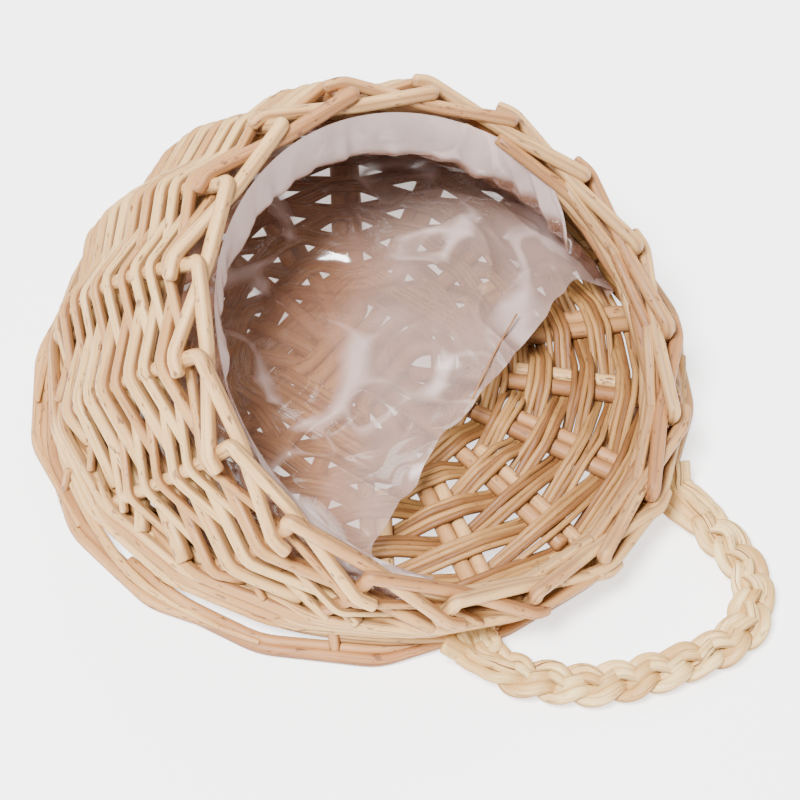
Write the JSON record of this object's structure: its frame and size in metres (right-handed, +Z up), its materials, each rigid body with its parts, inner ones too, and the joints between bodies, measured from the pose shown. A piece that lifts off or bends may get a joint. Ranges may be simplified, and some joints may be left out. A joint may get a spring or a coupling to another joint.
{
  "type": "flower girl basket",
  "caption": "Round willow basket with a hood-like woven back, a tilted round mouth, a clear film liner, a foot border and a braided hanging loop.",
  "frame": {"origin": "the middle of the bounding box's bottom, on the surface the basket stands on", "axes": "+Z up from the foot border through the base, +Y from the hanging loop towards the hood, +X across the basket"},
  "size_m": [0.1994, 0.2432, 0.1047],
  "materials": {
    "pale_willow": "peeled pale cream willow, satin, with small brown flecks",
    "pink_willow": "buff willow, pinkish tan, satin",
    "gold_willow": "thin golden tan willow, satin",
    "braid_straw": "flat pale fibre strips, plaited, matt",
    "clear_film": "thin clear film, glossy and crumpled"
  },
  "bodies": {
    "basket": {"base_stick_upper_1": "pink_willow", "base_stick_upper_2": "pink_willow", "base_stick_upper_3": "pink_willow", "base_stick_upper_4": "pink_willow", "base_stick_upper_5": "pink_willow", "base_stick_lower_1": "pink_willow", "base_stick_lower_2": "pink_willow", "base_stick_lower_3": "pink_willow", "base_stick_lower_4": "pink_willow", "base_binding": "gold_willow", "base_weave_1": "gold_willow", "base_weave_2": "gold_willow", "base_weave_3": "gold_willow", "base_weave_4": "gold_willow", "base_weave_5": "gold_willow", "base_weave_6": "gold_willow", "base_weave_7": "gold_willow", "base_weave_8": "gold_willow", "side_stake_1": "pink_willow", "side_stake_2": "pink_willow", "side_stake_3": "pink_willow", "side_stake_4": "pink_willow", "side_stake_5": "pink_willow", "side_stake_6": "pink_willow", "side_stake_7": "pink_willow", "side_stake_8": "pink_willow", "side_stake_9": "pink_willow", "side_stake_10": "pink_willow", "side_stake_11": "pink_willow", "side_stake_12": "pink_willow", "side_stake_13": "pink_willow", "side_stake_14": "pink_willow", "side_stake_15": "pink_willow", "side_stake_16": "pink_willow", "side_stake_17": "pink_willow", "side_stake_18": "pink_willow", "wale_row_1": "pale_willow", "wale_row_2": "pale_willow", "wale_row_3": "pale_willow", "hood_weave_1": "pale_willow", "hood_weave_2": "pale_willow", "hood_weave_3": "pale_willow", "hood_weave_4": "pale_willow", "hood_weave_5": "pale_willow", "hood_weave_6": "pale_willow", "hood_weave_7": "pale_willow", "hood_weave_8": "pale_willow", "foot_rod_outer": "pink_willow", "foot_rod_inner": "pink_willow", "loop_tuck_right": "braid_straw", "loop_tuck_left": "braid_straw", "liner_film": "clear_film"},
    "loop": {"loop_strand_1": "braid_straw", "loop_strand_2": "braid_straw", "loop_strand_3": "braid_straw"}
  },
  "joints": [
    {"name": "loop_swing", "type": "hinge", "parent": "basket", "child": "loop", "pos_m": [-0.01335, -0.06963, 0.0062], "axis": [-0.9895, 0.1444, 0], "range_deg": [0, 45]}
  ]
}
